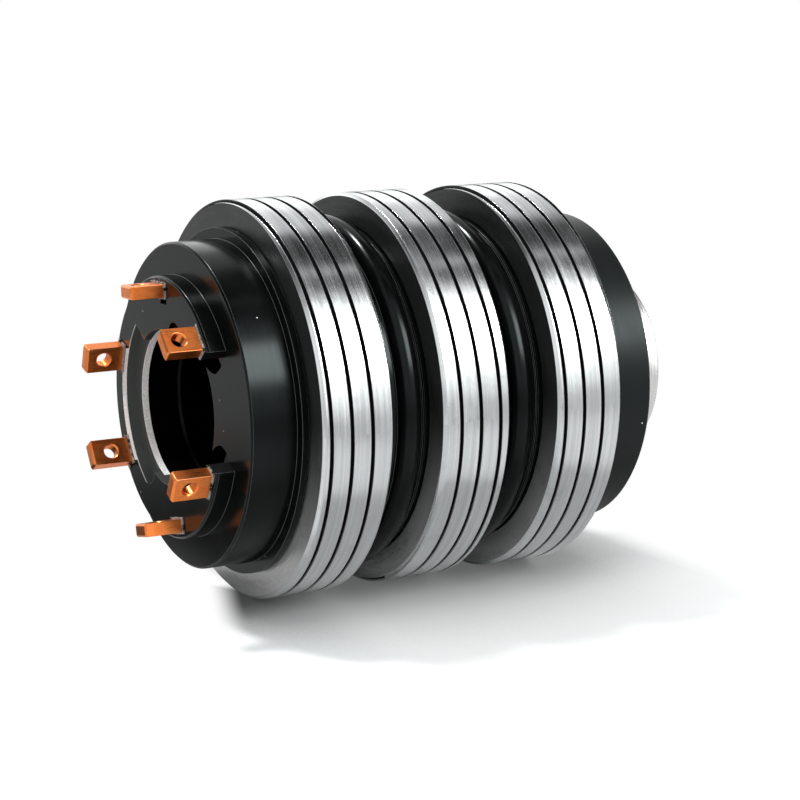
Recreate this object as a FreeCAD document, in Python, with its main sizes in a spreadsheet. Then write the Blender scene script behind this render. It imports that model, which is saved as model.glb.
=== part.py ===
import FreeCAD, Part
import math
import os
import Sketcher

# Three-ring moulded slip ring for a wound rotor.
# The shaft axis is X. The origin is on that axis at the rear end face of the steel bush,
# and the copper terminals point to -X. Y points away from the viewer and Z is up.

V = FreeCAD.Vector

# Driving dimensions, in millimetres and degrees.
SIZES = (
    ("bush_bore_radius", 37.5),
    ("bush_wall", 11.0),
    ("bush_length", 238.5),
    ("bush_edge_break", 1.2),
    ("rear_projection", 29.0),
    ("rear_hub_step", 2.0),
    ("rear_hub_length", 30.0),
    ("hub_edge_break", 1.0),
    ("ring_radius", 100.0),
    ("ring_width", 37.0),
    ("ring_gap", 27.3),
    ("ring_wall", 16.0),
    ("ring_edge_break", 1.6),
    ("ring_bore_break", 1.2),
    ("anchor_height", 4.0),
    ("anchor_width", 10.0),
    ("groove_pitch", 10.8),
    ("groove_width", 2.1),
    ("groove_depth", 2.0),
    ("groove_start_front", 4.1),
    ("groove_start_middle", 9.4),
    ("groove_start_rear", 4.0),
    ("bead_height", 6.0),
    ("bead_width", 12.0),
    ("bead_offset_front", 2.8),
    ("bead_offset_rear", 0.8),
    ("ridge_height", 1.2),
    ("ridge_width", 1.2),
    ("ridge_offset", 10.6),
    ("flange_height", 2.5),
    ("flange_width", 3.5),
    ("flange_gap", 0.8),
    ("front_hub_step", 3.0),
    ("front_hub_length", 28.0),
    ("boss_margin", 3.45),
    ("boss_height", 9.0),
    ("front_bore_step", 1.4),
    ("clocking", 8.1),
    ("slot_width", 57.0),
    ("pocket_width", 9.8),
    ("pocket_depth", 5.2),
    ("pocket_upper_angle", 53.5),
    ("pocket_upper_bow", 0.4),
    ("pocket_lower_angle", 50.5),
    ("pocket_lower_bow", 3.0),
    ("pocket_bore_angle", 58.5),
    ("lip_width", 2.3),
    ("lip_drop", 4.0),
    ("ledge_width", 5.0),
    ("ledge_drop", 0.3),
    ("lobe_reach", 11.5),
    ("lobe_bow", 1.5),
    ("lobe_depth", 8.0),
    ("notch_radius", 8.0),
    ("notch_angle", 62.0),
    ("notch_depth", 14.0),
    ("bar_cover", 9.8),
    ("bar_width", 13.3),
    ("bar_thickness", 6.5),
    ("bar_reach_1a", 18.8),
    ("bar_reach_1b", 18.0),
    ("bar_reach_2a", 20.4),
    ("bar_reach_2b", 21.5),
    ("bar_reach_3a", 19.9),
    ("bar_reach_3b", 20.0),
    ("bar_tip_break", 1.0),
    ("bar_hole_radius", 3.5),
    ("bar_hole_reach", 11.0),
    ("bar_hole_break", 0.6),
    ("pair_half_angle", 25.0),
    ("first_pair_angle", 60.0),
    ("sleeve_wall", 0.9),
    ("sleeve_proud", 0.8),
    ("mouth_relief", 2.6),
    ("mouth_depth", 4.0),
)

# Dimensions that follow from the driving ones.
DERIVED = (
    ("bush_outer_radius", "bush_bore_radius + bush_wall"),
    ("ring_bore_radius", "ring_radius - ring_wall"),
    ("anchor_radius", "ring_bore_radius + anchor_height"),
    ("rear_hub_radius", "ring_bore_radius - rear_hub_step"),
    ("front_hub_radius", "ring_bore_radius - front_hub_step"),
    ("bead_radius", "ring_bore_radius + bead_height"),
    ("ridge_radius", "ring_bore_radius + ridge_height"),
    ("flange_radius", "ring_bore_radius + flange_height"),
    ("bar_radius", "bush_outer_radius + bar_cover"),
    ("boss_radius", "bar_radius + bar_thickness / 2 + boss_margin"),
    ("front_bore_radius", "bush_bore_radius + front_bore_step"),
    ("lip_radius", "front_bore_radius + lip_width"),
    ("pocket_radius", "lip_radius + pocket_width"),
    ("ledge_radius", "pocket_radius + ledge_width"),
)

RING_NAMES = ("front", "middle", "rear")
PAIR_STEP = 120
SIDES = (("a", -1), ("b", 1))
# How far a cutting tool runs past the face that it opens.
OVERRUN = 1.0
# The one bar, by pair and letter, whose channel was left open at the mouth.
OPEN_MOUTH = (0, "b")

doc = FreeCAD.newDocument("slip_ring")
sheet = doc.addObject("Spreadsheet::Sheet", "Sizes")
for row, (alias, value) in enumerate(SIZES, start=1):
    sheet.set("A%d" % row, alias)
    sheet.set("B%d" % row, str(value))
    sheet.setAlias("B%d" % row, alias)
for row, (alias, formula) in enumerate(DERIVED, start=len(SIZES) + 1):
    sheet.set("A%d" % row, alias)
    sheet.setAlias("B%d" % row, alias)
    sheet.set("B%d" % row, "=" + formula)
doc.recompute()


def bound(text):
    """Turn words of the size list into references to the sheet's cells."""
    names = [alias for alias, value in SIZES + DERIVED]
    out = []
    for word in text.split():
        bare = word.strip("()")
        if bare in names:
            word = word.replace(bare, "Sizes." + bare)
        out.append(word)
    return " ".join(out)


def number(text):
    """The value that a bound text has now."""
    return float(sheet.evalExpression(bound(text)))


# Stations along the shaft axis, as texts: each is an X value.
def ring_rear_face(index):
    """Rear face of a ring. Index 0 is the front ring and 2 the rear one."""
    steps = len(RING_NAMES) - 1 - index
    hub = "- ( rear_projection + rear_hub_length + %d * ( ring_width + ring_gap ) )"
    return hub % steps


def ring_front_face(index):
    return "( %s - ring_width )" % ring_rear_face(index)


def ring_middle(index):
    return "( %s - ring_width / 2 )" % ring_rear_face(index)


HUB_REAR = "- rear_projection"
BUSH_FRONT = "- bush_length"
HUB_FACE = "( %s - front_hub_length )" % ring_front_face(0)
BOSS_TOP = "( %s - boss_height )" % HUB_FACE


def plane(body, role):
    return [item for item in body.Origin.OriginFeatures if item.Role == role][0]


def new_sketch(body, name, role):
    sketch = body.newObject("Sketcher::SketchObject", name)
    sketch.AttachmentSupport = [(plane(body, role), "")]
    sketch.MapMode = "FlatFace"
    return sketch


def bind_point(sketch, geometry, end, place):
    """Hold one point of a sketch at a place given by two bound texts."""
    for kind, text in zip(("DistanceX", "DistanceY"), place):
        index = sketch.addConstraint(
            Sketcher.Constraint(kind, -1, 1, geometry, end, number(text)))
        sketch.setExpression("Constraints[%d]" % index, bound(text))


def add_loop(sketch, corners):
    """Draw a closed outline with straight sides through bound corners."""
    first = sketch.GeometryCount
    places = [V(number(along), number(across), 0) for along, across in corners]
    for index, place in enumerate(places):
        following = places[(index + 1) % len(places)]
        sketch.addGeometry(Part.LineSegment(place, following), False)
    for index in range(len(places)):
        following = first + (index + 1) % len(places)
        sketch.addConstraint(
            Sketcher.Constraint("Coincident", first + index, 2, following, 1))
        bind_point(sketch, first + index, 1, corners[index])


def revolve(body, name, sketch):
    feature = body.newObject("PartDesign::Revolution", name)
    feature.Profile = sketch
    feature.ReferenceAxis = (sketch, ["H_Axis"])
    feature.Angle = 360
    doc.recompute()
    return feature


def turned_body(label, corners):
    """A body turned about the shaft axis from a bound outline of (X, radius)."""
    body = doc.addObject("PartDesign::Body", label)
    sketch = new_sketch(body, label + "_outline", "XY_Plane")
    add_loop(sketch, corners)
    doc.recompute()
    revolve(body, label + "_turning", sketch)
    return body


# Steel bush
def make_bush():
    bore = "bush_bore_radius"
    outer = "bush_outer_radius"
    cut = "bush_edge_break"
    return turned_body("shaft_bush", [
        ("0 - " + cut, outer),
        ("0", outer + " - " + cut),
        ("0", bore),
        (BUSH_FRONT + " + " + cut, bore),
        (BUSH_FRONT, bore + " + " + cut),
        (BUSH_FRONT, outer),
    ])


# Steel rings, each with one helical groove
def make_ring(index):
    name = "ring_" + RING_NAMES[index]
    rear = ring_rear_face(index)
    front = ring_front_face(index)
    middle = ring_middle(index)
    edge = "ring_edge_break"
    inner = "ring_bore_break"
    half_anchor = "anchor_width / 2"
    body = turned_body(name, [
        (rear, "ring_bore_radius + " + inner),
        (rear, "ring_radius - " + edge),
        (rear + " - " + edge, "ring_radius"),
        (front + " + " + edge, "ring_radius"),
        (front, "ring_radius - " + edge),
        (front, "ring_bore_radius + " + inner),
        (front + " + " + inner, "ring_bore_radius"),
        (middle + " - " + half_anchor, "ring_bore_radius"),
        (middle + " - " + half_anchor, "anchor_radius"),
        (middle + " + " + half_anchor, "anchor_radius"),
        (middle + " + " + half_anchor, "ring_bore_radius"),
        (rear + " - " + inner, "ring_bore_radius"),
    ])
    start = front + " + groove_start_" + RING_NAMES[index] + " - 2 * groove_pitch"
    half = "groove_width / 2"
    floor = "- ring_radius + groove_depth"
    above = "- ring_radius - groove_depth / 2"
    section = new_sketch(body, name + "_groove_section", "XY_Plane")
    add_loop(section, [
        (start + " - " + half, floor),
        (start + " + " + half, floor),
        (start + " + " + half, above),
        (start + " - " + half, above),
    ])
    doc.recompute()
    groove = body.newObject("PartDesign::SubtractiveHelix", name + "_groove")
    groove.Profile = section
    groove.ReferenceAxis = (section, ["H_Axis"])
    groove.Mode = "pitch-height-angle"
    groove.setExpression("Pitch", bound("groove_pitch"))
    groove.setExpression("Height", bound("ring_width + 3 * groove_pitch"))
    doc.recompute()
    return body


# Insulating moulding
def add_bead(body, index, offset):
    """Rounded bead in the gap behind one ring, off the gap's middle toward the rear."""
    name = "bead_%d" % index
    sketch = new_sketch(body, name + "_section", "XY_Plane")
    place = ("%s + ring_gap / 2 + %s" % (ring_rear_face(index), offset),
             "bead_radius - bead_width / 2")
    centre = V(number(place[0]), number(place[1]), 0)
    radius = number("bead_width / 2")
    sketch.addGeometry(Part.Circle(centre, V(0, 0, 1), radius), False)
    bind_point(sketch, 0, 3, place)
    size = sketch.addConstraint(Sketcher.Constraint("Radius", 0, radius))
    sketch.setExpression("Constraints[%d]" % size, bound("bead_width / 2"))
    doc.recompute()
    revolve(body, name, sketch)


def moulding_outline():
    cut = "hub_edge_break"
    corners = [
        (HUB_REAR, "bush_outer_radius"),
        (HUB_REAR, "rear_hub_radius - " + cut),
        (HUB_REAR + " - " + cut, "rear_hub_radius"),
        (ring_rear_face(2), "rear_hub_radius"),
        (ring_rear_face(2), "ring_bore_radius"),
    ]
    for index in (2, 1, 0):
        middle = ring_middle(index)
        corners += [
            (middle + " + anchor_width / 2", "ring_bore_radius"),
            (middle + " + anchor_width / 2", "anchor_radius"),
            (middle + " - anchor_width / 2", "anchor_radius"),
            (middle + " - anchor_width / 2", "ring_bore_radius"),
        ]
        if index > 0:
            ridge = ring_rear_face(index - 1) + " + ring_gap / 2 + ridge_offset"
            corners += [
                (ridge + " + ridge_width / 2", "ring_bore_radius"),
                (ridge + " + ridge_width / 2", "ridge_radius"),
                (ridge + " - ridge_width / 2", "ridge_radius"),
                (ridge + " - ridge_width / 2", "ring_bore_radius"),
            ]
    flange = ring_front_face(0) + " - flange_gap"
    corners += [
        (flange, "ring_bore_radius"),
        (flange, "flange_radius"),
        (flange + " - flange_width", "flange_radius"),
        (flange + " - flange_width", "front_hub_radius"),
        (HUB_FACE + " + " + cut, "front_hub_radius"),
        (HUB_FACE, "front_hub_radius - " + cut),
        (HUB_FACE, "boss_radius"),
        (BOSS_TOP + " + " + cut, "boss_radius"),
        (BOSS_TOP, "boss_radius - " + cut),
        (BOSS_TOP, "front_bore_radius"),
        (BUSH_FRONT, "front_bore_radius"),
        (BUSH_FRONT, "bush_outer_radius"),
    ]
    return corners


def prism(label, corners, start, length):
    """A straight bar toward -X from a bound outline of (Y, Z) at station start."""
    body = doc.addObject("PartDesign::Body", label)
    add_pad(body, label + "_length", [corners], start, length)
    return body


def add_pad(body, name, loops, start, length):
    sketch = new_sketch(body, name + "_section", "YZ_Plane")
    sketch.setExpression("AttachmentOffset.Base.z", bound(start))
    for corners in loops:
        add_loop(sketch, corners)
    doc.recompute()
    pad = body.newObject("PartDesign::Pad", name)
    pad.Profile = sketch
    pad.Reversed = True
    pad.setExpression("Length", bound(length))
    doc.recompute()
    return pad


def turn_about_shaft(thing, angle):
    """Turn a thing drawn upright to its angle from the viewer's right, upward."""
    thing.Placement = FreeCAD.Placement(V(0, 0, 0), FreeCAD.Rotation(V(1, 0, 0), 0))
    thing.setExpression("Placement.Rotation.Angle", bound("90 - clocking - (%s)" % angle))


def rectangle(half_width, low, high):
    return [
        ("- (" + half_width + ")", low),
        (half_width, low),
        (half_width, high),
        ("- (" + half_width + ")", high),
    ]


# Copper bars and their insulating sleeves
BAR_LOW = "bar_radius - bar_thickness / 2"
BAR_HIGH = "bar_radius + bar_thickness / 2"


def pair_angle(pair, side):
    return "first_pair_angle + %d * %d + %d * pair_half_angle" % (PAIR_STEP, pair, side)


def edges_where(shape, test):
    names = []
    for number_of_edge, edge in enumerate(shape.Edges, start=1):
        if test(edge):
            names.append("Edge%d" % number_of_edge)
    return names


def foot_rear(pair):
    return "( %s + bar_thickness / 2 )" % ring_middle(pair)


def foot_front(pair):
    return "( %s - bar_thickness / 2 )" % ring_middle(pair)


FOOT_TOP = "sqrt( anchor_radius ^ 2 - ( bar_width / 2 ) ^ 2 )"


def make_bar(pair, side, letter):
    tag = "%d%s" % (pair + 1, letter)
    name = "terminal_bar_" + tag
    body = doc.addObject("PartDesign::Body", name)
    start = foot_rear(pair)
    bar_tip = "( %s - bar_reach_%s )" % (BOSS_TOP, tag)
    straight = [rectangle("bar_width / 2", BAR_LOW, BAR_HIGH)]
    add_pad(body, name + "_straight", straight, start, "%s - %s" % (start, bar_tip))
    foot = [rectangle("bar_width / 2", BAR_LOW, FOOT_TOP)]
    add_pad(body, name + "_foot", foot, start, "bar_thickness")
    sketch = new_sketch(body, name + "_hole_place", "XY_Plane")
    hole = number("bar_hole_radius")
    place = (BOSS_TOP + " - bar_hole_reach", "0")
    sketch.addGeometry(Part.Circle(V(number(place[0]), 0, 0), V(0, 0, 1), hole), False)
    bind_point(sketch, 0, 3, place)
    size = sketch.addConstraint(Sketcher.Constraint("Radius", 0, hole))
    sketch.setExpression("Constraints[%d]" % size, bound("bar_hole_radius"))
    sketch.setExpression("AttachmentOffset.Base.z", bound("bar_radius"))
    doc.recompute()
    pocket = body.newObject("PartDesign::Pocket", name + "_hole")
    pocket.Profile = sketch
    pocket.Midplane = True
    pocket.setExpression("Length", bound("bar_thickness * 2"))
    doc.recompute()
    tip = number(bar_tip)
    add_chamfer(body, name + "_hole_break", pocket,
                lambda edge: isinstance(edge.Curve, Part.Circle), "bar_hole_break")
    add_chamfer(body, name + "_tip_break", body.Tip,
                lambda edge: abs(edge.BoundBox.XMin - tip) < 0.01
                and edge.BoundBox.XLength < 0.01, "bar_tip_break")
    turn_about_shaft(body, pair_angle(pair, side))
    return body


def add_chamfer(body, name, base, test, size):
    chamfer = body.newObject("PartDesign::Chamfer", name)
    chamfer.Base = (base, edges_where(base.Shape, test))
    chamfer.setExpression("Size", bound(size))
    doc.recompute()
    return chamfer


def make_sleeve(pair, side, letter):
    name = "bar_sleeve_%d%s" % (pair + 1, letter)
    body = doc.addObject("PartDesign::Body", name)
    start = foot_front(pair)
    loops = [
        rectangle("bar_width / 2 + sleeve_wall",
                  BAR_LOW + " - sleeve_wall", BAR_HIGH + " + sleeve_wall"),
        rectangle("bar_width / 2", BAR_LOW, BAR_HIGH),
    ]
    add_pad(body, name + "_length", loops, start,
            "%s - %s + sleeve_proud" % (start, BOSS_TOP))
    turn_about_shaft(body, pair_angle(pair, side))
    return body


def bar_channel(pair, side, letter):
    """What one bar, its foot and its sleeve take out of the moulding."""
    name = "channel_%d%s" % (pair + 1, letter)
    start = foot_front(pair)
    half = "bar_width / 2 + sleeve_wall"
    low = BAR_LOW + " - sleeve_wall"
    body = prism(name, rectangle(half, low, BAR_HIGH + " + sleeve_wall"),
                 start, "%s - %s + %s" % (start, BOSS_TOP, OVERRUN))
    foot = [rectangle("bar_width / 2", BAR_LOW, "anchor_radius + %s" % OVERRUN)]
    add_pad(body, name + "_foot", foot, foot_rear(pair), "bar_thickness")
    if (pair, letter) == OPEN_MOUTH:
        mouth = [
            ("- (" + half + ")", low + " - mouth_relief"),
            ("0", low + " - mouth_relief"),
            ("0", low + " + sleeve_wall"),
            ("- (" + half + ")", low + " + sleeve_wall"),
        ]
        add_pad(body, name + "_mouth", [mouth], BOSS_TOP + " + mouth_depth",
                "mouth_depth + %s" % OVERRUN)
    turn_about_shaft(body, pair_angle(pair, side))
    return body


# Pockets of the front boss, drawn as seen from the terminal end.
# across runs to the viewer's right (-Y) and up runs along Z before the clocking is added.
def plan_point(across, up, station):
    turn = math.radians(number("clocking"))
    right = across * math.cos(turn) - up * math.sin(turn)
    high = across * math.sin(turn) + up * math.cos(turn)
    return V(station, -right, high)


def polar(radius, degrees, station):
    angle = math.radians(degrees)
    return plan_point(radius * math.cos(angle), radius * math.sin(angle), station)


def plan_prism(edges, depth):
    """A prism from plan edges at one station, reaching depth toward +X."""
    face = Part.Face(Part.Wire(edges))
    return face.extrude(V(depth, 0, 0))


def plan_box(left, right, low, high, station, depth):
    """A straight-sided prism between plan distances, reaching depth toward +X."""
    corners = [(left, low), (right, low), (right, high), (left, high), (left, low)]
    points = [plan_point(across, up, station) for across, up in corners]
    return plan_prism(Part.makePolygon(points).Edges, depth)


def round_bar(radius, centre, depth):
    return Part.makeCylinder(radius, depth, centre, V(1, 0, 0))


def bowed(start, end, bow):
    """Arc bowed to the right of the way from start to end, seen from the terminals."""
    side = V(1, 0, 0).cross(end - start)
    side.normalize()
    return Part.Arc(start, (start + end) / 2 + side * bow, end).toShape()


def crescent(station, depth):
    """Arc-shaped pocket on the far side, open to the bore: pointed above, round below."""
    inner = number("front_bore_radius") - OVERRUN
    outer = number("pocket_radius")
    bore_angle = number("pocket_bore_angle")
    upper_tip = polar(outer, 180 - number("pocket_upper_angle"), station)
    lower_tip = polar(outer, 180 + number("pocket_lower_angle"), station)
    upper_bore = polar(inner, 180 - bore_angle, station)
    lower_bore = polar(inner, 180 + bore_angle, station)
    edges = [
        Part.Arc(upper_tip, polar(outer, 180, station), lower_tip).toShape(),
        bowed(lower_tip, lower_bore, number("pocket_lower_bow")),
        Part.Arc(lower_bore, polar(inner, 180, station), upper_bore).toShape(),
        bowed(upper_bore, upper_tip, number("pocket_upper_bow")),
    ]
    return plan_prism(edges, depth)


def slot_lobe(sign, station, depth):
    """Pointed pocket in the slot floor beside one slot wall, open to the bore."""
    wall = number("slot_width / 2")
    reach = number("lobe_reach")
    bow = -sign * number("lobe_bow")
    bore = number("front_bore_radius") - OVERRUN
    boss = number("boss_radius")
    low = wall - reach / 2
    wall_right = math.sqrt(boss ** 2 - wall ** 2)
    wall_left = math.sqrt(bore ** 2 - wall ** 2)
    low_left = math.sqrt(bore ** 2 - low ** 2)
    apex = plan_point((wall_right + low_left) / 2, sign * (wall - reach), station)
    right = plan_point(wall_right, sign * wall, station)
    left = plan_point(low_left, sign * low, station)
    corner = plan_point(wall_left, sign * wall, station)
    edges = [
        Part.LineSegment(corner, right).toShape(),
        bowed(right, apex, bow),
        bowed(apex, left, bow),
        Part.LineSegment(left, corner).toShape(),
    ]
    return plan_prism(edges, depth)


def front_pockets():
    """Everything cut from the front of the moulding apart from the bar channels."""
    top = number(BOSS_TOP)
    half = number("slot_width / 2")
    start = top - OVERRUN
    slot = plan_box(0, number("front_hub_radius") + OVERRUN, -half, half, start,
                    number("boss_height") + OVERRUN)
    lip_cylinder = round_bar(number("lip_radius"), V(start, 0, 0),
                             number("pocket_depth") + OVERRUN)
    lip = crescent(start, number("lip_drop") + OVERRUN)
    deep = crescent(start, number("pocket_depth") + OVERRUN).cut(lip_cylinder)
    drop = number("ledge_drop")
    inner = number("pocket_radius")
    outer = number("ledge_radius")
    widened = outer + (outer - inner) / drop * OVERRUN
    cone = Part.makeCone(widened, inner, drop + OVERRUN, V(start, 0, 0), V(1, 0, 0))
    window = plan_box(-widened - OVERRUN, 0, -half, half, start, drop + OVERRUN)
    ledge = cone.common(window).cut(lip_cylinder)
    notch = round_bar(number("notch_radius"),
                      polar(number("front_bore_radius"), number("notch_angle"), start),
                      number("notch_depth") + OVERRUN)
    lobes = [slot_lobe(sign, number(HUB_FACE) - OVERRUN, number("lobe_depth") + OVERRUN)
             for sign in (-1, 1)]
    return slot.multiFuse([lip, deep, ledge, notch] + lobes)


def make_moulding(channels):
    core = turned_body("moulding_core", moulding_outline())
    for index, offset in enumerate(("bead_offset_front", "bead_offset_rear")):
        add_bead(core, index, offset)
    pockets = doc.addObject("Part::Feature", "front_pockets")
    pockets.Shape = front_pockets()
    tools = doc.addObject("Part::MultiFuse", "moulding_tools")
    tools.Shapes = [pockets] + channels
    moulding = doc.addObject("Part::Cut", "insulating_body")
    moulding.Base = core
    moulding.Tool = tools
    doc.recompute()
    return moulding


nodes = [make_bush()]
for ring_index in range(len(RING_NAMES)):
    nodes.append(make_ring(ring_index))
channels = []
for pair_index in range(len(RING_NAMES)):
    for side_letter, side_sign in SIDES:
        nodes.append(make_bar(pair_index, side_sign, side_letter))
        nodes.append(make_sleeve(pair_index, side_sign, side_letter))
        channels.append(bar_channel(pair_index, side_sign, side_letter))
nodes.append(make_moulding(channels))
doc.recompute()

for item in doc.Objects:
    if "Invalid" in item.State or "Error" in item.State:
        raise RuntimeError("%s failed: %s" % (item.Label, item.State))
for node in nodes:
    if node.Shape.isNull() or not node.Shape.isValid():
        raise RuntimeError("%s has no valid shape" % node.Label)
    if len(node.Shape.Solids) != 1:
        raise RuntimeError("%s has %d solids" % (node.Label, len(node.Shape.Solids)))

os.makedirs("parts", exist_ok=True)
for node in nodes:
    node.Shape.exportStep(os.path.join("parts", node.Label + ".step"))
    box = node.Shape.BoundBox
    print("%-18s %10.0f mm3  X %.1f..%.1f  Y %.1f..%.1f  Z %.1f..%.1f" % (
        node.Label, node.Shape.Volume, box.XMin, box.XMax, box.YMin, box.YMax, box.ZMin, box.ZMax))
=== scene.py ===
import math
import random

import bpy
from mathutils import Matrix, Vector


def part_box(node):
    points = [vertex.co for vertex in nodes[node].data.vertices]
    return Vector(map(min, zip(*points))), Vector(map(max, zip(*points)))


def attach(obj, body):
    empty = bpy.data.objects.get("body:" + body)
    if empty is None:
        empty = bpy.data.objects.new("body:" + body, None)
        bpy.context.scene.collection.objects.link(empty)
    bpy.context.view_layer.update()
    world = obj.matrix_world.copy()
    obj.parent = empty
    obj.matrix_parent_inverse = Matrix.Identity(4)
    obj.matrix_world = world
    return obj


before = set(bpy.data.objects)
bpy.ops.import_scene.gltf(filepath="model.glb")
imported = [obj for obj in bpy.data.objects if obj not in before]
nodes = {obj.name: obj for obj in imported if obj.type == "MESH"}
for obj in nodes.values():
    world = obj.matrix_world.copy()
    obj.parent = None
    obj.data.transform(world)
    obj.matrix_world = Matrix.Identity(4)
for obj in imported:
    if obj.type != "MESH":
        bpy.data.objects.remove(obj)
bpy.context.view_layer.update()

# Places in the part's own frame, in metres. X runs along the shaft, the terminals are at -X.
MM = 0.001
RING_NAMES = ("ring_front", "ring_middle", "ring_rear")
BAR_TAGS = ("1a", "1b", "2a", "2b", "3a", "3b")
RING_LOW, RING_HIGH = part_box("ring_front")
RING_WIDTH = RING_HIGH[0] - RING_LOW[0]
RING_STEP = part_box("ring_middle")[0][0] - RING_LOW[0]
RING_RADIUS = (RING_HIGH[2] - RING_LOW[2]) / 2
FLOOR = RING_LOW[2]
BOSS_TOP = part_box("insulating_body")[0][0]
SLEEVE_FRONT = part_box("bar_sleeve_1a")[0][0]
BORE_RADIUS = 38.9 * MM
POCKET_RADIUS = 51.0 * MM
LEDGE_RADIUS = 56.0 * MM
REAR_HUB_FRONT = -59.0 * MM
# Depths into the bore: up to the second its mouth is painted grey as lit, between the two its far
# wall is painted near-white as lit, and beyond the second it is painted black as shade.
BORE_LIT_FROM = 3.9 * MM
BORE_LIT_TO = 7.3 * MM
FAR_SIDE = 12.0 * MM
CLOCKING = 8.1
FIRST_PAIR_ANGLE = 60.0
PAIR_STEP = 120.0
PAIR_HALF_ANGLE = 25.0
BAR_RADIUS = 58.3 * MM
SLEEVE_HALF_WIDTH = 7.55 * MM
SLEEVE_HALF_THICKNESS = 4.15 * MM

# Camera, fitted to eleven circles of the photo
CAMERA_PLACE = (-0.6788, -1.0008, 0.2307)
CAMERA_YAW = 28.745
CAMERA_PITCH = 11.879
FOCAL_PIXELS = 2242.6
PHOTO_PIXELS = 800
SENSOR = 36.0

# The light that throws the shadow: where it comes from, its strength and how wide it looks
SUN_FROM = (-0.25, 0.48, 1.0)
SUN_STRENGTH = 3.0
SUN_ANGLE = 9.0

# Strengths of the studio's lit parts
EVEN_LIGHT = 0.035
FRONT_LIGHT = 1.10
CORE_LIGHT = 12.5
STRIP_LIGHT = 0.7
BACK_LIGHT = 0.85
LOW_BACK_LIGHT = 0.80
LEFT_LIGHT = 0.75

BLACK = (0.0, 0.0, 0.0, 1)
WHITE = (1.0, 1.0, 1.0, 1)

SEED = 7


# Node helpers
def new_material(name):
    material = bpy.data.materials.new(name)
    material.use_nodes = True
    tree = material.node_tree
    return material, tree, tree.nodes["Principled BSDF"]


def feed(tree, socket, value):
    """Join a value to a socket, whether it is another socket or a number."""
    if isinstance(value, bpy.types.NodeSocket):
        tree.links.new(value, socket)
    else:
        socket.default_value = value


def maths(tree, operation, first, second=0.0, clamp=False):
    node = tree.nodes.new("ShaderNodeMath")
    node.operation = operation
    node.use_clamp = clamp
    feed(tree, node.inputs[0], first)
    feed(tree, node.inputs[1], second)
    return node.outputs[0]


def ramp(tree, value, low, high, to_low=0.0, to_high=1.0):
    """Map a value smoothly from one range to another and hold it at the ends."""
    node = tree.nodes.new("ShaderNodeMapRange")
    node.interpolation_type = "SMOOTHSTEP"
    feed(tree, node.inputs["Value"], value)
    node.inputs["From Min"].default_value = low
    node.inputs["From Max"].default_value = high
    node.inputs["To Min"].default_value = to_low
    node.inputs["To Max"].default_value = to_high
    return node.outputs["Result"]


def times(tree, first, *others):
    for other in others:
        first = maths(tree, "MULTIPLY", first, other)
    return first


def within(tree, value, low, high):
    """1 where a value lies between two limits, and 0 elsewhere."""
    return times(tree, maths(tree, "GREATER_THAN", value, low),
                 maths(tree, "LESS_THAN", value, high))


def band(tree, value, rise, fall, rest=0.0):
    """0 before the rise, 1 from there to the fall, and the rest after it."""
    return times(tree, ramp(tree, value, *rise), ramp(tree, value, *fall, 1.0, rest))


def blend_colour(tree, factor, first, second):
    node = tree.nodes.new("ShaderNodeMix")
    node.data_type = "RGBA"
    feed(tree, node.inputs[0], factor)
    feed(tree, node.inputs[6], first)
    feed(tree, node.inputs[7], second)
    return node.outputs[2]


def noise(tree, vector, scale, detail=3.0, rough=0.55):
    node = tree.nodes.new("ShaderNodeTexNoise")
    feed(tree, node.inputs["Vector"], vector)
    node.inputs["Scale"].default_value = scale
    node.inputs["Detail"].default_value = detail
    node.inputs["Roughness"].default_value = rough
    return node.outputs["Fac"]


def joined(tree, x, y, z):
    node = tree.nodes.new("ShaderNodeCombineXYZ")
    for socket, value in zip(node.inputs, (x, y, z)):
        feed(tree, socket, value)
    return node.outputs[0]


def place_of(tree):
    """Object coordinates, the distance from the shaft axis and the angle round it."""
    coords = tree.nodes.new("ShaderNodeTexCoord")
    split = tree.nodes.new("ShaderNodeSeparateXYZ")
    tree.links.new(coords.outputs["Object"], split.inputs[0])
    x, y, z = split.outputs
    radius = maths(tree, "SQRT", maths(tree, "ADD", maths(tree, "MULTIPLY", y, y),
                                       maths(tree, "MULTIPLY", z, z)))
    turn = maths(tree, "ARCTAN2", z, y)
    return coords.outputs["Object"], x, y, z, radius, turn


def bump(tree, height, strength, distance, normal=None):
    node = tree.nodes.new("ShaderNodeBump")
    node.inputs["Strength"].default_value = strength
    node.inputs["Distance"].default_value = distance
    tree.links.new(height, node.inputs["Height"])
    if normal is not None:
        tree.links.new(normal, node.inputs["Normal"])
    return node.outputs[0]


def rounded_edges(tree, radius):
    """A normal that rounds sharp edges, and how near an edge each point is."""
    bevel = tree.nodes.new("ShaderNodeBevel")
    bevel.samples = 6
    bevel.inputs["Radius"].default_value = radius
    geometry = tree.nodes.new("ShaderNodeNewGeometry")
    dot = tree.nodes.new("ShaderNodeVectorMath")
    dot.operation = "DOT_PRODUCT"
    tree.links.new(bevel.outputs[0], dot.inputs[0])
    tree.links.new(geometry.outputs["Normal"], dot.inputs[1])
    edge = ramp(tree, dot.outputs["Value"], 0.995, 0.85)
    return bevel.outputs[0], edge


def circular_tangent(tree, shader, amount):
    tangent = tree.nodes.new("ShaderNodeTangent")
    tangent.direction_type = "RADIAL"
    tangent.axis = "X"
    shader.inputs["Anisotropic"].default_value = amount
    tree.links.new(tangent.outputs[0], shader.inputs["Tangent"])


def turning_lines(tree, x, radius, turn, per_metre):
    """Fine lines that a lathe leaves round the shaft axis."""
    vector = joined(tree, maths(tree, "MULTIPLY", x, per_metre),
                    maths(tree, "MULTIPLY", radius, per_metre),
                    maths(tree, "MULTIPLY", turn, 0.35))
    return noise(tree, vector, 1.0, 4.0, 0.7)


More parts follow.
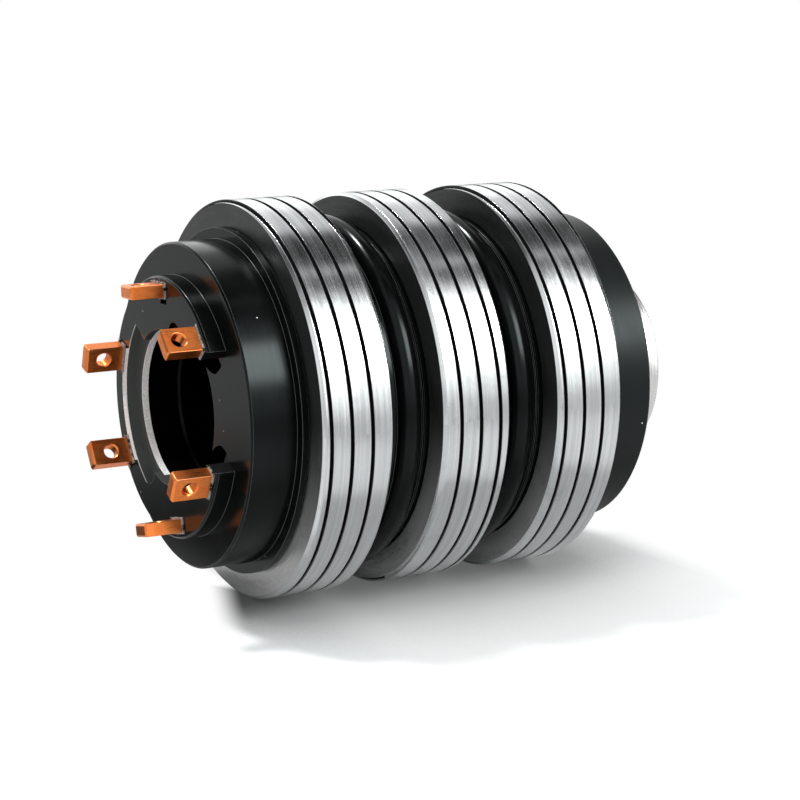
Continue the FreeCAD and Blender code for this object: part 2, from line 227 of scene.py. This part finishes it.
# Materials
def ring_steel():
    """Turned steel with grooves painted near-black as shade, and side faces painted darker towards
    the top as shade.
    """
    material, tree, shader = new_material("ring_steel")
    where, x, y, z, radius, turn = place_of(tree)
    fine = turning_lines(tree, x, radius, turn, 2600.0)
    broad = turning_lines(tree, x, radius, turn, 420.0)
    cloud = noise(tree, where, 28.0, 4.0, 0.6)
    smear = noise(tree, joined(tree, times(tree, x, 60.0), times(tree, turn, 5.5), 0.0),
                  1.0, 5.0, 0.65)
    along = maths(tree, "MODULO", maths(tree, "SUBTRACT", x, RING_LOW[0]), RING_STEP)
    sunk = ramp(tree, radius, RING_RADIUS - 1.35 * MM, RING_RADIUS - 0.25 * MM, 1.0, 0.0)
    groove = times(tree, sunk, within(tree, along, 1.7 * MM, RING_WIDTH - 1.7 * MM))
    bright = blend_colour(tree, ramp(tree, broad, 0.35, 0.68),
                          (0.54, 0.565, 0.57, 1), (0.70, 0.728, 0.735, 1))
    stained = blend_colour(tree, ramp(tree, smear, 0.56, 0.74, 0.0, 0.45), bright,
                           (0.40, 0.405, 0.41, 1))
    geometry = tree.nodes.new("ShaderNodeNewGeometry")
    split = tree.nodes.new("ShaderNodeSeparateXYZ")
    tree.links.new(geometry.outputs["Normal"], split.inputs[0])
    side = ramp(tree, maths(tree, "ABSOLUTE", split.outputs[0]), 0.90, 0.97)
    # Painted shade: side faces are light at the bottom and near-black towards the top.
    greyed = blend_colour(tree, ramp(tree, z, -60 * MM, 10 * MM),
                          (0.60, 0.61, 0.61, 1), (0.055, 0.057, 0.057, 1))
    faced = blend_colour(tree, side, stained, greyed)
    # Painted shade: the grooves are near-black.
    feed(tree, shader.inputs["Base Color"],
         blend_colour(tree, groove, faced, (0.010, 0.010, 0.011, 1)))
    feed(tree, shader.inputs["Metallic"], ramp(tree, side, 0.0, 1.0, 1.0, 0.72))
    rough = maths(tree, "ADD", ramp(tree, fine, 0.3, 0.75, 0.12, 0.25),
                  ramp(tree, cloud, 0.4, 0.7, 0.0, 0.07))
    worn = maths(tree, "ADD", times(tree, groove, 0.4), times(tree, side, 0.12))
    feed(tree, shader.inputs["Roughness"], maths(tree, "ADD", rough, worn, clamp=True))
    circular_tangent(tree, shader, 0.5)
    soft, edge = rounded_edges(tree, 0.35 * MM)
    lines = bump(tree, fine, 0.14, 0.05 * MM, soft)
    dents = noise(tree, where, 900.0, 2.0, 0.5)
    feed(tree, shader.inputs["Normal"],
         bump(tree, ramp(tree, dents, 0.70, 0.78), 0.15, 0.05 * MM, lines))
    return material


def bush_steel():
    """Turned steel with its bore and front end painted near-black as shade."""
    material, tree, shader = new_material("bush_steel")
    where, x, y, z, radius, turn = place_of(tree)
    fine = turning_lines(tree, x, radius, turn, 1500.0)
    stain = noise(tree, where, 40.0, 4.0, 0.6)
    bore = ramp(tree, radius, 37.7 * MM, 37.9 * MM, 1.0, 0.0)
    front = times(tree, maths(tree, "LESS_THAN", x, -100 * MM),
                  maths(tree, "LESS_THAN", radius, 45 * MM))
    # Painted shade: the bore and the front end inside the moulding are near-black.
    painted_bore_shade = maths(tree, "MAXIMUM", bore, front)
    bright = blend_colour(tree, ramp(tree, stain, 0.4, 0.7),
                          (0.60, 0.60, 0.60, 1), (0.72, 0.715, 0.70, 1))
    feed(tree, shader.inputs["Base Color"],
         blend_colour(tree, painted_bore_shade, bright, (0.006, 0.006, 0.006, 1)))
    shader.inputs["Metallic"].default_value = 1.0
    feed(tree, shader.inputs["Roughness"], ramp(tree, fine, 0.3, 0.7, 0.20, 0.38))
    circular_tangent(tree, shader, 0.4)
    soft, edge = rounded_edges(tree, 0.4 * MM)
    feed(tree, shader.inputs["Normal"], bump(tree, fine, 0.2, 0.06 * MM, soft))
    return material


def dust_specks(tree, where, density, share, size):
    """Sparse small round specks: 1 on a speck, 0 elsewhere."""
    cells = tree.nodes.new("ShaderNodeTexVoronoi")
    cells.inputs["Scale"].default_value = density
    tree.links.new(where, cells.inputs["Vector"])
    picked = maths(tree, "GREATER_THAN",
                   noise(tree, cells.outputs["Position"], 37.0, 0.0), share)
    return times(tree, picked, maths(tree, "LESS_THAN", cells.outputs["Distance"], size))


def black_resin():
    """Glossy moulding with painted highlights on its edges, a duller rear hub, cut strips on the
    far side painted near-white as lit, a bore mouth painted grey as lit and the bore painted black
    as shade further in.
    """
    material, tree, shader = new_material("black_resin")
    where, x, y, z, radius, turn = place_of(tree)
    lines = turning_lines(tree, x, radius, turn, 700.0)
    grain = noise(tree, where, 1400.0, 3.0, 0.6)
    cloud = noise(tree, where, 32.0, 4.0, 0.6)
    soft, edge = rounded_edges(tree, 0.45 * MM)
    moulded = blend_colour(tree, ramp(tree, cloud, 0.35, 0.7),
                           (0.0012, 0.0016, 0.0016, 1), (0.0030, 0.0037, 0.0036, 1))
    rear = maths(tree, "GREATER_THAN", x, REAR_HUB_FRONT)
    turned = blend_colour(tree, rear, moulded, (0.0060, 0.0070, 0.0070, 1))
    # Painted highlight: the edges are lightened to grey.
    worn = blend_colour(tree, times(tree, edge, 0.55), turned, (0.24, 0.25, 0.25, 1))
    far = maths(tree, "GREATER_THAN", y, FAR_SIDE)
    pocket = times(tree, within(tree, x, BOSS_TOP + 0.5 * MM, BOSS_TOP + 6 * MM), far,
                   within(tree, radius, BORE_RADIUS + 0.3 * MM, POCKET_RADIUS + 0.2 * MM))
    greyed = blend_colour(tree, pocket, worn, (0.070, 0.076, 0.074, 1))
    in_bore = maths(tree, "LESS_THAN", radius, BORE_RADIUS + 0.4 * MM)
    # Painted light: the first part of the bore is grey, as if lit.
    mouth = times(tree, in_bore, within(tree, x, BOSS_TOP + 0.1 * MM, BOSS_TOP + BORE_LIT_TO))
    lit = blend_colour(tree, mouth, greyed, (0.055, 0.058, 0.057, 1))
    # Painted light on cut resin: the far ledge and a band of the far bore wall are near-white, as
    # lit walls.
    speckle = noise(tree, where, 2200.0, 3.0, 0.75)
    cut_resin_painted_lit = blend_colour(tree, ramp(tree, speckle, 0.36, 0.62),
                       (0.56, 0.565, 0.565, 1), (0.98, 0.98, 0.97, 1))
    ledge = times(tree, within(tree, x, BOSS_TOP + 0.015 * MM, BOSS_TOP + 0.45 * MM), far,
                  within(tree, radius, POCKET_RADIUS - 0.1 * MM, LEDGE_RADIUS + 0.1 * MM))
    ring = times(tree, in_bore, far,
                 within(tree, x, BOSS_TOP + BORE_LIT_FROM, BOSS_TOP + BORE_LIT_TO))
    cut_strips_painted_lit = maths(tree, "MAXIMUM", ledge, ring)
    with_painted_lit_strips = blend_colour(tree, cut_strips_painted_lit, lit, cut_resin_painted_lit)
    # Painted shade: the bore further in is near-black.
    painted_shade_in_bore = times(tree, in_bore, maths(tree, "GREATER_THAN", x, BOSS_TOP + BORE_LIT_TO))
    dusty = blend_colour(tree, dust_specks(tree, where, 120.0, 0.64, 0.050), with_painted_lit_strips,
                         (0.42, 0.42, 0.40, 1))
    feed(tree, shader.inputs["Base Color"],
         blend_colour(tree, painted_shade_in_bore, dusty, (0.0008, 0.0008, 0.0008, 1)))
    smooth = maths(tree, "ADD", ramp(tree, cloud, 0.3, 0.75, 0.15, 0.22),
                   ramp(tree, lines, 0.3, 0.7, 0.0, 0.05))
    duller = maths(tree, "ADD", times(tree, rear, 0.16),
                   times(tree, maths(tree, "MAXIMUM", cut_strips_painted_lit, pocket), 0.35))
    feed(tree, shader.inputs["Roughness"], maths(tree, "ADD", smooth, duller, clamp=True))
    shader.inputs["IOR"].default_value = 1.25
    shader.inputs["Specular Tint"].default_value = (0.86, 1.0, 0.98, 1)
    rippled = bump(tree, lines, 0.05, 0.05 * MM, soft)
    feed(tree, shader.inputs["Normal"], bump(tree, grain, 0.10, 0.05 * MM, rippled))
    return material


def bare_copper():
    material, tree, shader = new_material("bare_copper")
    where, x, y, z, radius, turn = place_of(tree)
    soft, edge = rounded_edges(tree, 0.35 * MM)
    brushed = noise(tree, joined(tree, times(tree, x, 110.0), times(tree, y, 2400.0),
                                 times(tree, z, 2400.0)), 1.0, 3.0, 0.55)
    patch = noise(tree, where, 130.0, 5.0, 0.65)
    stain = noise(tree, where, 420.0, 4.0, 0.7)
    clean = blend_colour(tree, ramp(tree, patch, 0.35, 0.7),
                         (0.95, 0.29, 0.078, 1), (0.86, 0.21, 0.045, 1))
    brown = blend_colour(tree, ramp(tree, stain, 0.56, 0.76, 0.0, 0.25), clean,
                         (0.24, 0.055, 0.022, 1))
    feed(tree, shader.inputs["Base Color"],
         blend_colour(tree, times(tree, edge, 0.45), brown, (1.0, 0.58, 0.32, 1)))
    shader.inputs["Metallic"].default_value = 1.0
    feed(tree, shader.inputs["Roughness"],
         maths(tree, "ADD", ramp(tree, brushed, 0.3, 0.7, 0.27, 0.33),
               ramp(tree, stain, 0.5, 0.7, 0.0, 0.08)))
    feed(tree, shader.inputs["Normal"], bump(tree, brushed, 0.07, 0.03 * MM, soft))
    return material


def glass_sleeve():
    """Painted near-black as shade inside the moulding, with a light cut rim."""
    material, tree, shader = new_material("glass_sleeve")
    where, x, y, z, radius, turn = place_of(tree)
    fibres = noise(tree, joined(tree, times(tree, x, 260.0), times(tree, y, 1600.0),
                                times(tree, z, 1600.0)), 1.0, 4.0, 0.7)
    rim = times(tree, ramp(tree, x, BOSS_TOP, BOSS_TOP - 0.15 * MM),
                ramp(tree, noise(tree, where, 260.0, 2.0), 0.38, 0.52))
    light = blend_colour(tree, ramp(tree, fibres, 0.35, 0.65),
                         (0.10, 0.105, 0.10, 1), (0.52, 0.52, 0.49, 1))
    # Painted shade: near-black everywhere but the rim, where the sleeve sits in shaded gaps.
    feed(tree, shader.inputs["Base Color"],
         blend_colour(tree, rim, (0.003, 0.003, 0.003, 1), light))
    shader.inputs["Roughness"].default_value = 0.6
    shader.inputs["IOR"].default_value = 1.2
    feed(tree, shader.inputs["Normal"], bump(tree, fibres, 0.5, 0.15 * MM))
    return material


def frayed_glass():
    material, tree, shader = new_material("frayed_glass")
    where, x, y, z, radius, turn = place_of(tree)
    feed(tree, shader.inputs["Base Color"],
         blend_colour(tree, ramp(tree, noise(tree, where, 1100.0), 0.35, 0.65),
                      (0.20, 0.20, 0.19, 1), (0.66, 0.65, 0.61, 1)))
    shader.inputs["Roughness"].default_value = 0.6
    return material


def dress(objects, material):
    for thing in objects:
        thing.data.materials.clear()
        thing.data.materials.append(material)


# Ragged ends of the glass sleeves
def bar_directions(tag):
    """Outward and sideways directions of one bar."""
    side = -1 if tag[1] == "a" else 1
    degrees = FIRST_PAIR_ANGLE + PAIR_STEP * (int(tag[0]) - 1) + side * PAIR_HALF_ANGLE
    angle = math.radians(CLOCKING + degrees)
    outward = Vector((0, -math.cos(angle), math.sin(angle)))
    sideways = Vector((0, math.sin(angle), math.cos(angle)))
    return outward, sideways


def rim_point(chance, outward, sideways):
    """A random point of a sleeve's rim, with the way out of it and the way along it."""
    long_side = SLEEVE_HALF_WIDTH / (SLEEVE_HALF_WIDTH + SLEEVE_HALF_THICKNESS)
    sign = chance.choice((-1, 1))
    if chance.random() < long_side:
        across = chance.uniform(-1, 1) * SLEEVE_HALF_WIDTH
        return sideways * across + outward * sign * SLEEVE_HALF_THICKNESS, outward * sign, sideways
    up = chance.uniform(-1, 1) * SLEEVE_HALF_THICKNESS
    return outward * up + sideways * sign * SLEEVE_HALF_WIDTH, sideways * sign, outward


def make_fray(tag, material, strands=34):
    """Loose strands of glass round the root of one bar."""
    chance = random.Random(SEED + BAR_TAGS.index(tag))
    outward, sideways = bar_directions(tag)
    middle = Vector((SLEEVE_FRONT + 0.5 * MM, 0, 0)) + outward * BAR_RADIUS
    corners = []
    faces = []
    for _ in range(strands):
        place, out, along = rim_point(chance, outward, sideways)
        long_one = chance.random() < 0.2
        half = chance.uniform(0.12, 0.45) * MM
        reach = chance.uniform(0.9, 2.4) if long_one else chance.uniform(0.1, 0.8)
        forward = chance.uniform(0.3, 1.8) * MM
        base = middle + place - out * 0.35 * MM
        lean = along * chance.uniform(-0.8, 0.8) * MM
        tip = base + out * reach * MM - Vector((forward, 0, 0)) + lean
        start = len(corners)
        corners += [base - along * half, base + along * half, base + out * 0.3 * MM, tip]
        faces += [(start, start + 1, start + 2), (start, start + 3, start + 1),
                  (start + 1, start + 3, start + 2), (start + 2, start + 3, start)]
    mesh = bpy.data.meshes.new("sleeve_fray_" + tag)
    mesh.from_pydata(corners, [], faces)
    mesh.materials.append(material)
    fray = bpy.data.objects.new("sleeve_fray_" + tag, mesh)
    bpy.context.scene.collection.objects.link(fray)
    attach(fray, "root")


# Camera
def make_camera():
    data = bpy.data.cameras.new("camera")
    data.sensor_width = SENSOR
    data.lens = FOCAL_PIXELS / PHOTO_PIXELS * SENSOR
    data.clip_start = 0.05
    camera = bpy.data.objects.new("camera", data)
    camera.location = CAMERA_PLACE
    camera.rotation_euler = (math.radians(90 - CAMERA_PITCH), 0, -math.radians(CAMERA_YAW))
    bpy.context.scene.collection.objects.link(camera)
    bpy.context.scene.camera = camera


# Studio
def make_world():
    """A studio by direction, white to the camera. Height is an angle up from the front."""
    world = bpy.data.worlds.new("studio")
    world.use_nodes = True
    tree = world.node_tree
    tree.nodes.clear()
    coords = tree.nodes.new("ShaderNodeTexCoord")
    split = tree.nodes.new("ShaderNodeSeparateXYZ")
    tree.links.new(coords.outputs["Generated"], split.inputs[0])
    x, y, z = split.outputs
    height = maths(tree, "MULTIPLY",
                   maths(tree, "ARCTAN2", z, maths(tree, "MULTIPLY", y, -1.0)),
                   180 / math.pi)
    parts = (
        (band(tree, height, (-8.0, 4.0), (60.0, 73.0)), FRONT_LIGHT),
        (times(tree, band(tree, height, (19.0, 28.0), (46.0, 55.0)),
               band(tree, x, (0.12, 0.28), (0.66, 0.82))), CORE_LIGHT),
        (band(tree, height, (80.5, 82.5), (85.5, 87.5)), STRIP_LIGHT),
        (band(tree, height, (112.0, 121.0), (166.0, 176.0), 0.2), BACK_LIGHT),
        (band(tree, height, (138.0, 150.0), (168.0, 176.0), 0.2), LOW_BACK_LIGHT),
    )
    level = ramp(tree, x, -0.75, 0.10, 0.35, 1.0)
    total = EVEN_LIGHT
    for part, strength in parts:
        total = maths(tree, "ADD", times(tree, part, level, strength), total)
    left = times(tree, ramp(tree, x, -0.40, -0.15, 1.0, 0.0),
                 ramp(tree, y, -0.20, 0.05, 1.0, 0.0), ramp(tree, z, -0.05, 0.10))
    total = maths(tree, "ADD", times(tree, left, LEFT_LIGHT), total)
    light = tree.nodes.new("ShaderNodeBackground")
    tree.links.new(total, light.inputs["Strength"])
    light.inputs["Color"].default_value = WHITE
    white = tree.nodes.new("ShaderNodeBackground")
    white.inputs["Color"].default_value = WHITE
    white.inputs["Strength"].default_value = 1.0
    path = tree.nodes.new("ShaderNodeLightPath")
    choose = tree.nodes.new("ShaderNodeMixShader")
    tree.links.new(path.outputs["Is Camera Ray"], choose.inputs[0])
    tree.links.new(light.outputs[0], choose.inputs[1])
    tree.links.new(white.outputs[0], choose.inputs[2])
    out = tree.nodes.new("ShaderNodeOutputWorld")
    tree.links.new(choose.outputs[0], out.inputs[0])
    bpy.context.scene.world = world


def make_sun():
    data = bpy.data.lights.new("sun", "SUN")
    data.energy = SUN_STRENGTH
    data.angle = math.radians(SUN_ANGLE)
    sun = bpy.data.objects.new("sun", data)
    sun.rotation_euler = Vector(SUN_FROM).to_track_quat("Z", "Y").to_euler()
    bpy.context.scene.collection.objects.link(sun)


def floor_for_part(tree, x, y):
    """The floor's colour as the part sees it, with painted shade: darker far away and just behind
    the left end.
    """
    near = times(tree, ramp(tree, y, 0.35, 0.80, 1.0, 0.0), ramp(tree, y, -0.50, -0.28))
    grey = blend_colour(tree, near, (0.30, 0.30, 0.30, 1), (0.47, 0.47, 0.47, 1))
    left_behind = times(tree, ramp(tree, x, -0.31, -0.26, 1.0, 0.0), ramp(tree, y, 0.0, 0.05))
    dim = blend_colour(tree, ramp(tree, y, 0.08, 0.45, 0.03, 0.31), BLACK, WHITE)
    return blend_colour(tree, left_behind, grey, dim)


def floor_for_camera(tree):
    """The floor's colour as the camera sees it, with a painted contact shadow: darker close to the
    part.
    """
    open_air = tree.nodes.new("ShaderNodeAmbientOcclusion")
    open_air.samples = 12
    open_air.inputs["Distance"].default_value = 0.16
    contact = ramp(tree, open_air.outputs["AO"], 0.26, 0.97, 0.24, 1.0)
    return blend_colour(tree, contact, BLACK, (0.885, 0.915, 0.915, 1))


def shadow_fade(tree, x, y):
    """How far the shadow is painted over with white: all of it outside, some of it towards the
    front.
    """
    slanted = maths(tree, "SUBTRACT", x, times(tree, y, 0.37))
    left = ramp(tree, slanted, -0.240, -0.222, 1.0, 0.0)
    behind = times(tree, ramp(tree, x, -0.225, -0.20, 1.0, 0.0), ramp(tree, y, 0.0, 0.02))
    right = ramp(tree, x, -0.01, 0.02)
    past_edge = ramp(tree, x, -0.235, -0.185)
    thin = times(tree, past_edge, ramp(tree, y, -0.09, -0.03, 0.36, 0.10))
    thinner = times(tree, past_edge, ramp(tree, y, -0.175, -0.12, 0.9, 0.0))
    fade = left
    for other in (behind, right, thin, thinner):
        fade = maths(tree, "MAXIMUM", fade, other)
    return fade


def make_floor():
    mesh = bpy.data.meshes.new("floor")
    half = 40.0
    corners = [(-half, -half, FLOOR), (half, -half, FLOOR), (half, half, FLOOR),
               (-half, half, FLOOR)]
    mesh.from_pydata(corners, [], [(0, 1, 2, 3)])
    floor = bpy.data.objects.new("floor", mesh)
    bpy.context.scene.collection.objects.link(floor)
    material, tree, shader = new_material("floor_paper")
    where, x, y, z, radius, turn = place_of(tree)
    camera_ray = tree.nodes.new("ShaderNodeLightPath").outputs["Is Camera Ray"]
    paper = tree.nodes.new("ShaderNodeBsdfDiffuse")
    feed(tree, paper.inputs["Color"],
         blend_colour(tree, camera_ray, floor_for_part(tree, x, y), floor_for_camera(tree)))
    white = tree.nodes.new("ShaderNodeEmission")
    mix = tree.nodes.new("ShaderNodeMixShader")
    feed(tree, mix.inputs[0], times(tree, shadow_fade(tree, x, y), camera_ray))
    tree.links.new(paper.outputs[0], mix.inputs[1])
    tree.links.new(white.outputs[0], mix.inputs[2])
    tree.links.new(mix.outputs[0], tree.nodes["Material Output"].inputs[0])
    tree.nodes.remove(shader)
    mesh.materials.append(material)


make_camera()
make_world()
make_floor()
make_sun()

dress([nodes[name] for name in RING_NAMES], ring_steel())
dress([nodes["shaft_bush"]], bush_steel())
dress([nodes["insulating_body"]], black_resin())
dress([nodes["terminal_bar_" + tag] for tag in BAR_TAGS], bare_copper())
dress([nodes["bar_sleeve_" + tag] for tag in BAR_TAGS], glass_sleeve())
fray_material = frayed_glass()
for tag in BAR_TAGS:
    make_fray(tag, fray_material)

bpy.context.scene.view_settings.view_transform = "Standard"
